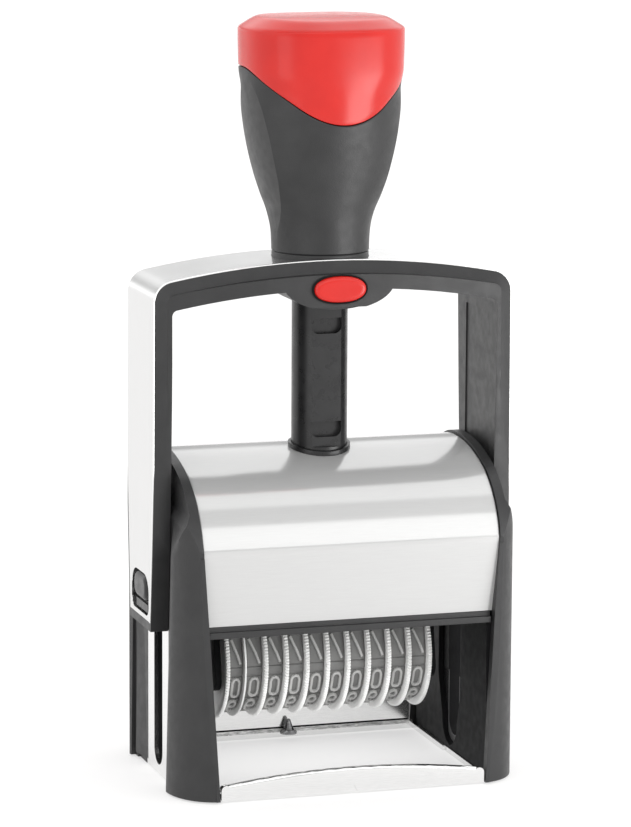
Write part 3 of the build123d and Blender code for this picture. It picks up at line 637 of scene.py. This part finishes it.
# strokes of each sign, as (across, up) points about its middle
DIGITS = {
    "0": [[(0, 1.15), (0.27, 1.05), (0.42, 0.72), (0.42, -0.72), (0.27, -1.05), (0, -1.15), (-0.27, -1.05),
           (-0.42, -0.72), (-0.42, 0.72), (-0.27, 1.05), (0, 1.15)]],
    "1": [[(0.3, 0.75), (0, 1.15), (0, -1.15)]],
    "2": [[(0.42, 0.7), (0.3, 1.0), (0, 1.15), (-0.3, 1.0), (-0.42, 0.6), (-0.3, 0.2), (0.42, -1.15),
           (-0.42, -1.15)]],
    "3": [[(0.4, 0.8), (0.25, 1.08), (0, 1.15), (-0.3, 1.0), (-0.4, 0.6), (-0.3, 0.15), (0, 0.02)],
          [(0, 0.02), (-0.32, -0.15), (-0.42, -0.6), (-0.3, -1.0), (0, -1.15), (0.25, -1.08), (0.4, -0.8)]],
    "4": [[(-0.2, -1.15), (-0.2, 1.15), (0.45, -0.45), (-0.45, -0.45)]],
    "5": [[(-0.38, 1.15), (0.36, 1.15), (0.4, 0.15), (0.1, 0.3), (-0.25, 0.2), (-0.42, -0.4), (-0.3, -1.0),
           (0, -1.15), (0.25, -1.08), (0.42, -0.75)]],
    "6": [[(-0.3, 1.0), (0, 1.15), (0.3, 0.85), (0.42, 0.1), (0.42, -0.6), (0.28, -1.02), (0, -1.15),
           (-0.3, -1.0), (-0.42, -0.55), (-0.3, -0.1), (0, 0.05), (0.3, -0.08), (0.42, -0.4)]],
    "7": [[(0.42, 1.15), (-0.42, 1.15), (0.05, -1.15)]],
    "8": [[(0, 0.05), (0.32, 0.25), (0.38, 0.65), (0.25, 1.03), (0, 1.15), (-0.25, 1.03), (-0.38, 0.65),
           (-0.32, 0.25), (0, 0.05), (-0.34, -0.18), (-0.42, -0.6), (-0.28, -1.02), (0, -1.15), (0.28, -1.02),
           (0.42, -0.6), (0.34, -0.18), (0, 0.05)]],
    "9": [[(0.3, -1.0), (0, -1.15), (-0.3, -0.85), (-0.42, -0.1), (-0.42, 0.6), (-0.28, 1.02), (0, 1.15),
           (0.3, 1.0), (0.42, 0.55), (0.3, 0.1), (0, -0.05), (-0.3, 0.08), (-0.42, 0.4)]],
    "/": [[(-0.5, 1.35), (0.5, -1.35)]],
}


def band_path(grow, steps=720):
    """Loop round hub and print bar as (y, z, ny, nz, s), from the front of the hub downwards."""
    hub = (0.0, 27.35, 11.25 + grow)
    band_top = shape_of("number_band_02")[1][2]
    bar_z, bar_r, bar_half = band_top - 1.4 - 1.5, 1.55 + grow, 3.0
    ends = [(-bar_half, bar_z, bar_r), (bar_half, bar_z, bar_r)]
    out, s, before = [], 0.0, None
    for k in range(steps):
        ang = math.pi + 2 * math.pi * k / steps
        n = (math.cos(ang), math.sin(ang))
        cy, cz, r = max([hub] + ends, key=lambda c: c[0] * n[0] + c[1] * n[1] + c[2])
        p = (cy + r * n[0], cz + r * n[1])
        if before:
            s += math.hypot(p[0] - before[0], p[1] - before[1])
        out.append((p[0], p[1], n[0], n[1], s))
        before = p
    first = out[0]
    s += math.hypot(first[0] - before[0], first[1] - before[1])
    return out, s


def on_path(path, length, s):
    """Point and normal of the loop at a distance along it."""
    s = s % length
    low, high = 0, len(path) - 1
    while high - low > 1:
        mid = (low + high) // 2
        if path[mid][4] <= s:
            low = mid
        else:
            high = mid
    if s > path[high][4]:
        a, b = path[high], path[0]
        gap = length - a[4]
    else:
        a, b = path[low], path[high]
        gap = b[4] - a[4]
    t = 0.0 if gap < 1e-9 else (s - a[4]) / gap
    y, z = a[0] + (b[0] - a[0]) * t, a[1] + (b[1] - a[1]) * t
    straight_over = 0.6
    if gap > straight_over:
        dy, dz = b[0] - a[0], b[1] - a[1]
        size = math.hypot(dy, dz)
        return y, z, dz / size, -dy / size
    ny, nz = a[2] + (b[2] - a[2]) * t, a[3] + (b[3] - a[3]) * t
    size = math.hypot(ny, nz)
    return y, z, ny / size, nz / size


BAND_THICK = 1.35
PAD_RISE = 0.25
SIGN_HIGH, SIGN_STROKE = 1.95, 0.27


def band_cells():
    """(place along the loop, sign, length) of each raised pad, from the zero in the window onwards."""
    zero = 20.6 / 180 * math.pi * 12.6
    pitch, size = 5.75, 5.2
    cells = [(zero + n * pitch, str(-n % 10), size) for n in range(14)]
    cells += [(zero - 8.1, "/", 6.9), (zero - 3.75, " ", 1.75), (zero - 16.0, "/", 5.0)]
    cells.append((zero - 22.0, "0", 5.0))
    return cells


def pad_marks(cells, length):
    """Places along the loop where the band is cut into rows, each with 1 on a pad and 0 between pads."""
    slant, margin, count = 0.12, 0.2, 300
    marks = {}
    for centre, _, size in cells:
        for offset, up in ((-size / 2, 0), (-size / 2 + slant, 1), (size / 2 - slant, 1), (size / 2, 0)):
            marks[round((centre + offset) % length, 4)] = up
    for n in range(count):
        s = length * n / count
        inside = any(abs((s - centre + length / 2) % length - length / 2) < size / 2 - margin
                     for centre, _, size in cells)
        marks.setdefault(round(s, 4), 1 if inside else 0)
    return marks


def band_section(x0, x1, place, top):
    """Cross section of the band at a place on the loop, with slightly broken corners."""
    y, z, ny, nz = place
    shoulder, corner = top - 0.1, 0.12
    return [(x0, y, z), (x1, y, z), (x1, y + ny * shoulder, z + nz * shoulder),
            (x1 - corner, y + ny * top, z + nz * top), (x0 + corner, y + ny * top, z + nz * top),
            (x0, y + ny * shoulder, z + nz * shoulder)]


def finely(points, step=0.5):
    """The same line with more points, so that it follows the band's curve."""
    out = []
    for a, b in zip(points, points[1:]):
        n = max(1, int((b - a).length / step))
        out += [a.lerp(b, i / n) for i in range(n)]
    out.append(points[-1])
    return out


def raised_stroke(bm, points, onto_band):
    """Rounded ridge along a line of the sign, laid on the band."""
    closed = (points[0] - points[-1]).length < 1e-6
    fine = finely(points)
    foot, side, high = BAND_THICK - 0.05, SIGN_HIGH - 0.06, SIGN_HIGH
    profile = ((-1.25, foot), (-1.0, side), (-0.8, high), (0.8, high), (1.0, side), (1.25, foot))
    loops = []
    for i, p in enumerate(fine):
        before = fine[i - 1] if i > 0 else (fine[-2] if closed else p)
        after = fine[i + 1] if i < len(fine) - 1 else (fine[1] if closed else p)
        way = (after - before).normalized()
        out = Vector((-way.y, way.x, 0))
        loops.append([onto_band(p + out * (SIGN_STROKE * across), up) for across, up in profile])
    made = loft_rows(bm, loops, closed=False, mat=1)
    if not closed:
        for ring in (made[0], made[-1]):
            face = bm.faces.new(ring)
            face.material_index = 1


def number_band(k):
    """Rubber band with raised pads, each with its sign as a raised outline."""
    name = f"number_band_{k:02d}"
    low, high = shape_of(name)
    x0, x1 = low[0] + 0.03, high[0] - 0.03
    mid, wide = (x0 + x1) / 2, x1 - x0
    path, length = band_path(0.05)
    cells = band_cells()
    marks = pad_marks(cells, length)
    rows = []
    for s in sorted(marks):
        top = BAND_THICK - 0.13 + (PAD_RISE if marks[s] else 0.0)
        rows.append(band_section(x0, x1, on_path(path, length, s), top))
    rows.append(rows[0])
    bm = bmesh.new()
    loft_rows(bm, rows)
    bmesh.ops.remove_doubles(bm, verts=bm.verts, dist=0.002)
    for centre, sign, size in cells:

        def onto_band(spot, up):
            y, z, ny, nz = on_path(path, length, centre - spot.y)
            return mid + spot.x, y + ny * up, z + nz * up

        scale = size / 2 * 0.62 if sign == "/" else 2.0
        for line in DIGITS.get(sign, []):
            points = [Vector((across * wide * 0.62, up * scale * 0.95, 0)) for across, up in line]
            raised_stroke(bm, points, onto_band)
    mats = [MATS["grey_rubber"], MATS["digit_rubber"]]
    build(f"band_pads_{k:02d}", bm, "numberer", mats, 35, (name,))


# ---- spring and pad ------------------------------------------------------------------
def spring():
    """Coil spring with closed ends, riding on the bow."""
    low, high = shape_of("return_spring")
    wire, radius, turns = 0.6, 4.4, 9
    z0, z1 = low[2] + wire, high[2] - wire
    bm = bmesh.new()
    steps, sides = 24 * turns, 10
    rows = []
    for n in range(steps + 1):
        t = n / steps
        ang = 2 * math.pi * turns * t
        z = z0 + (z1 - z0) * t
        out = Vector((math.cos(ang), math.sin(ang), 0))
        centre = out * radius + Vector((0, 0, z))
        around = [2 * math.pi * i / sides for i in range(sides)]
        up = Vector((0, 0, 1))
        rows.append([centre + out * wire * math.cos(a) + up * wire * math.sin(a) for a in around])
    made = loft_rows(bm, rows)
    bm.faces.new(made[0])
    bm.faces.new(made[-1])
    piece = build("spring_coil", bm, "bow", [MATS["dark_steel"]], 50, ("return_spring",))
    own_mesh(piece)


def felt_pad():
    """Felt with rounded edges and a flat top."""
    low, high = shape_of("ink_pad")
    bm = bmesh.new()
    half_x, half_y, corner = (high[0] - low[0]) / 2, (high[1] - low[1]) / 2, 1.5
    mid_y = (high[1] + low[1]) / 2

    def ring(z, inset):
        out = []
        for cx, cy, a0 in ((1, 1, 0), (-1, 1, 90), (-1, -1, 180), (1, -1, 270)):
            for i in range(9):
                ang = math.radians(a0 + 90 * i / 8)
                out.append((cx * (half_x - corner - inset) + corner * math.cos(ang),
                            mid_y + cy * (half_y - corner - inset) + corner * math.sin(ang), z))
        return out

    rows = [ring(high[2], 0.3), ring(high[2] - 0.3, 0.0), ring(low[2] + 0.9, 0.0), ring(low[2] + 0.45, 0.1),
            ring(low[2] + 0.18, 0.4), ring(low[2] + 0.06, 1.0), ring(low[2] + 0.02, 2.2)]
    made = loft_rows(bm, rows)
    bm.faces.new(made[0])
    bm.faces.new(made[-1])
    piece = build("pad_felt", bm, "tray", [MATS["felt"]], 50, ("ink_pad",))


def oval(a, b, power, count):
    """Points of a superellipse."""
    out = []
    for i in range(count):
        c, s = math.cos(2 * math.pi * i / count), math.sin(2 * math.pi * i / count)
        r = (abs(c / a) ** power + abs(s / b) ** power) ** (-1 / power)
        out.append((r * c, r * s))
    return out


def button():
    """Oval button with a flat face inside a rounded edge, and a near-black ring round it: painted shade of
    the gap.
    """
    low, high = shape_of("lock_button")
    cz, a, b = (low[2] + high[2]) / 2, (high[0] - low[0]) / 2 - 0.08, (high[2] - low[2]) / 2 - 0.04
    front, power, count = low[1], 2.25, 96
    profile = ((0.0, high[1]), (0.0, front + 0.95), (0.06, front + 0.66), (0.2, front + 0.38),
               (0.42, front + 0.17), (0.75, front + 0.05), (1.1, front + 0.01), (1.5, front),
               (2.4, front + 0.02))
    bm = bmesh.new()
    rows = [[(x, y, cz + z) for x, z in oval(a - inset, b - inset, power, count)] for inset, y in profile]
    made = loft_rows(bm, rows)
    bm.faces.new(made[-1])
    bm.faces.new(made[0])
    build("button_oval", bm, "lock", [MATS["red_plastic"]], 60, ("lock_button",))

    # near-black ring laid in the gap round the button: painted shade, where the gap is in shadow
    face_y, wire, sides = -16.02, 0.2, 8
    bm = bmesh.new()
    rows = []
    for k in range(sides):
        ang = 2 * math.pi * k / sides
        grow = 0.22 + wire * math.cos(ang)
        y = face_y + wire * math.sin(ang)
        rows.append([(x, y, cz + z) for x, z in oval(a + grow, b + grow, power, count)])
    rows.append(rows[0])
    loft_rows(bm, rows)
    bmesh.ops.remove_doubles(bm, verts=bm.verts, dist=0.0001)
    build("button_gap_painted_shade", bm, "bow", [MATS["wall_black"]])


def guide_plates():
    """Grey U-shaped floors of the guide recesses, one in each inner wall."""
    outer = [(-8.2, 19.5), (-8.2, 18.0), (-5.1, 8.2)] + arc_points((-5.1, 8.0), (0, 2.45), (5.1, 8.0), 16)
    outer += [(5.1, 8.2), (8.2, 18.0), (8.2, 19.5)]
    slot_r, low_z = 3.75, 8.0
    inner = [(-slot_r, 19.5), (-slot_r, 15.0), (-slot_r, 8.2)]
    inner += [(slot_r * math.cos(a), low_z + slot_r * math.sin(a))
              for a in [math.pi * (1 + k / 16) for k in range(17)]]
    inner += [(slot_r, 8.2), (slot_r, 15.0), (slot_r, 19.5)]
    for side, name in ((1, "right"), (-1, "left")):
        wall_low, wall_high = shape_of(f"{name}_inner_wall")
        face_x = (wall_low[0] if side > 0 else wall_high[0]) + side * 1.15
        bm = bmesh.new()
        back_x = face_x + side * 0.1
        rows = [[(back_x, y, z) for y, z in outer], [(face_x, y, z) for y, z in outer],
                [(face_x, y, z) for y, z in inner], [(back_x, y, z) for y, z in inner]]
        rows.append(rows[0])
        loft_rows(bm, rows, closed=False)
        bmesh.ops.remove_doubles(bm, verts=bm.verts, dist=0.0001)
        bmesh.ops.holes_fill(bm, edges=bm.edges)
        build(f"guide_plate_{name}", bm, "base", [MATS["guide_grey"]], 30)


def rear_ledge():
    """Rough sawn edge along the foot of the rear wall, with a dark seam above it."""
    half, low_z, high_z, face_y, rear_y = 31.5, 1.25, 2.15, 25.12, 25.3
    count = 220
    bm = bmesh.new()
    rows = []
    for k in range(count + 1):
        x = -half + 2 * half * k / count
        wave = 0.05 * math.sin(k * 2.3) + 0.04 * math.sin(k * 5.1 + 1.0)
        rows.append([(x, rear_y, low_z), (x, face_y + 0.05 + wave, low_z),
                     (x, face_y - wave, (low_z + high_z) / 2),
                     (x, face_y + 0.03 + wave * 0.6, high_z + wave * 0.8), (x, rear_y, high_z)])
    made = loft_rows(bm, rows)
    bm.faces.new(made[0])
    bm.faces.new(made[-1])
    build("rear_ledge", bm, "base", [MATS["sawn_steel"]], 20)

    bm = bmesh.new()
    rows = [[(x, 26.0, 2.22), (x, 25.5, 2.22), (x, 25.42, 2.36), (x, 25.5, 2.5), (x, 26.0, 2.5)]
            for x in (-half + 0.2, 0.0, half - 0.2)]
    made = loft_rows(bm, rows)
    bm.faces.new(made[0])
    bm.faces.new(made[-1])
    build("rear_seam", bm, "base", [MATS["wall_black"]], 20)


def strip_front_line():
    """Points along the outer front edge of the strip, from foot to foot."""
    mid_z, front_zone = 70.0, -8.0
    bm = welded("bow_strip")
    bm.normal_update()
    found = {}
    for edge in bm.edges:
        if len(edge.link_faces) != 2:
            continue
        front, outer = sorted((face.normal for face in edge.link_faces), key=lambda n: n.y)
        middle = (edge.verts[0].co + edge.verts[1].co) / 2 / MM
        if front.y > -0.8 or outer.y < -0.4 or middle.y > front_zone:
            continue
        if outer.dot(Vector((middle.x, 0, middle.z - mid_z))) > 0:
            for vert in edge.verts:
                co = vert.co / MM
                found[round(math.atan2(co.x, co.z - mid_z), 3)] = co
    bm.free()
    return [found[angle] for angle in sorted(found)]


def strip_highlight_bead():
    """Rolled edge along the strip's front, in brighter steel than the strip: a real rounded edge with a
    painted highlight line.
    """
    wire, sides = 0.22, 10
    path = strip_front_line()
    rows = []
    for k, point in enumerate(path):
        way = (path[min(k + 1, len(path) - 1)] - path[max(k - 1, 0)]).normalized()
        out = way.cross(Vector((0, 1, 0))).normalized()
        back = out.cross(way)
        rows.append([point + (out * math.cos(a) + back * math.sin(a)) * wire
                     for a in [2 * math.pi * i / sides for i in range(sides)]])
    bm = bmesh.new()
    made = loft_rows(bm, rows)
    bm.faces.new(made[0])
    bm.faces.new(made[-1])
    # steel brighter than the strip itself: painted highlight along the strip's front edge
    build("strip_highlight_bead", bm, "bow", [MATS["bright_steel"]], 60)


# ---- CAD nodes with softened edges ---------------------------------------------------
# node: width of the softened edge, and its finish where that isn't the slot's own
SOFTENED = {
    "bow_body": (0.5, None),
    "bow_strip": (0.3, "strip_metal"),
    "right_cheek": (0.4, None),
    "left_cheek": (0.4, None),
    "base_frame": (0.15, None),
    "column": (0.22, "gloss_black"),
    "column_collar": (0.3, "gloss_black"),
    "cover_trim": (0.15, None),
    "pad_tray": (0.3, None),
    "right_inner_wall": (0.2, "wall_black"),
    "left_inner_wall": (0.2, "wall_black"),
    "rear_panel": (0.2, None),
    "left_side_plate": (0.15, "wall_black"),
    "right_side_plate": (0.15, "wall_black"),
    "lock_latch": (0.15, None),
    "right_pivot_bearing": (0.35, "gloss_black"),
    "left_pivot_bearing": (0.35, "gloss_black"),
    "rear_pointer": (0.15, "dark_steel"),
    "band_separator": (0.08, "light_plastic"),
    "neck_collar": (0.2, None),
}


# ---- put together --------------------------------------------------------------------
camera()
MATS = materials()
studio()
for part_name, node in NODES.items():
    node.data.materials.clear()
    node.data.materials.append(MATS[SLOT_OF[part_name]])

handle()
cover()
for number in range(1, 11):
    toothed_wheel(number)
    number_band(number)
spring()
felt_pad()
button()
guide_plates()
rear_ledge()
strip_highlight_bead()
for part_name, (width, finish) in SOFTENED.items():
    softened(part_name, width, MATS[finish or SLOT_OF[part_name]])
